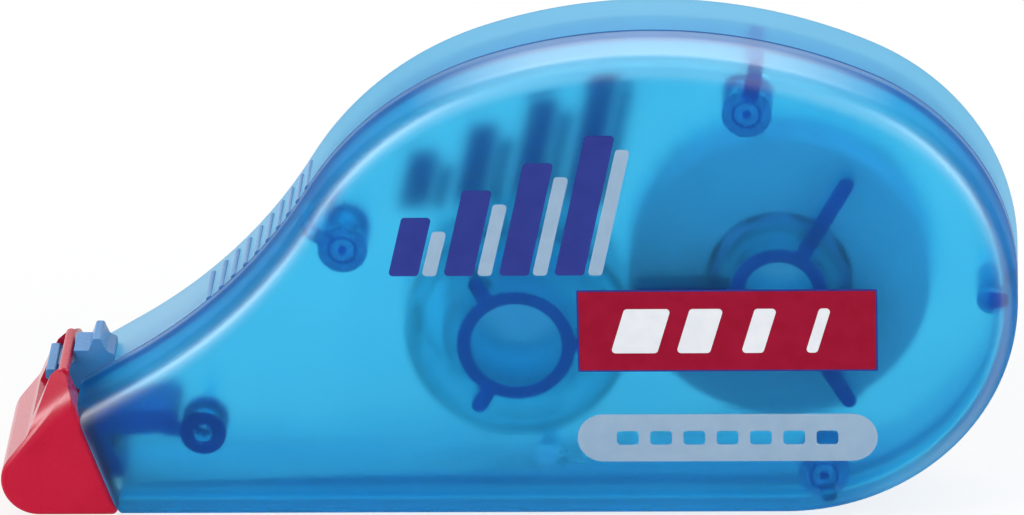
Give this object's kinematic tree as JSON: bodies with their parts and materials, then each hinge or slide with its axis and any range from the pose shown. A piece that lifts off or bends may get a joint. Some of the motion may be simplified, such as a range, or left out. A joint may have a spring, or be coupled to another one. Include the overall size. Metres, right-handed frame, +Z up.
{
  "type": "correction tape dispenser",
  "caption": "Teardrop pocket correction tape: clear blue shell halves around a geared tape roll and take-up reel, with an applicator tip under a red flip cap.",
  "frame": {"origin": "middle of the box around the object, at the bottom edge it stands on", "axes": "+X from the tip to the round end, +Y from the front shell to the back shell, +Z up"},
  "size_m": [0.08, 0.0126, 0.0396],
  "materials": {
    "shell_blue": "clear blue, finely frosted",
    "cap_red": "glossy",
    "head_navy": "smooth",
    "gear_blue": "satin",
    "clutch_navy": "satin",
    "core_blue": "satin",
    "tape_white": "chalky white coating on a thin film",
    "film_grey": "thin clear film"
  },
  "bodies": {
    "case": {"front_shell": "shell_blue", "back_shell": "shell_blue", "applicator_head": "head_navy", "feed_tape": "tape_white", "return_film": "film_grey"},
    "supply_drive": {"supply_gear": "gear_blue", "slip_clutch": "clutch_navy"},
    "supply_reel": {"supply_core": "core_blue", "tape_roll": "tape_white"},
    "take_up": {"take_up_reel": "gear_blue", "film_winding": "film_grey"},
    "cap": {"flip_cap": "cap_red"}
  },
  "joints": [
    {"name": "supply_spin", "type": "hinge", "parent": "case", "child": "supply_drive", "pos_m": [0.02144, 0, 0.01922], "axis": [0, 1, 0], "continuous": true},
    {"name": "clutch_slip", "type": "hinge", "parent": "supply_drive", "child": "supply_reel", "pos_m": [0.02144, 0, 0.01922], "axis": [0, 1, 0], "continuous": true},
    {"name": "take_up_spin", "type": "hinge", "parent": "case", "child": "take_up", "pos_m": [0.0009, 0, 0.01485], "axis": [0, 1, 0], "continuous": true},
    {"name": "cap_flip", "type": "hinge", "parent": "case", "child": "cap", "pos_m": [-0.03485, 0, 0.0118], "axis": [0, 1, 0], "range_deg": [0, 165]}
  ],
  "couplings": [
    {"joint": "take_up_spin", "follows": "supply_spin", "ratio": -1.3333}
  ]
}
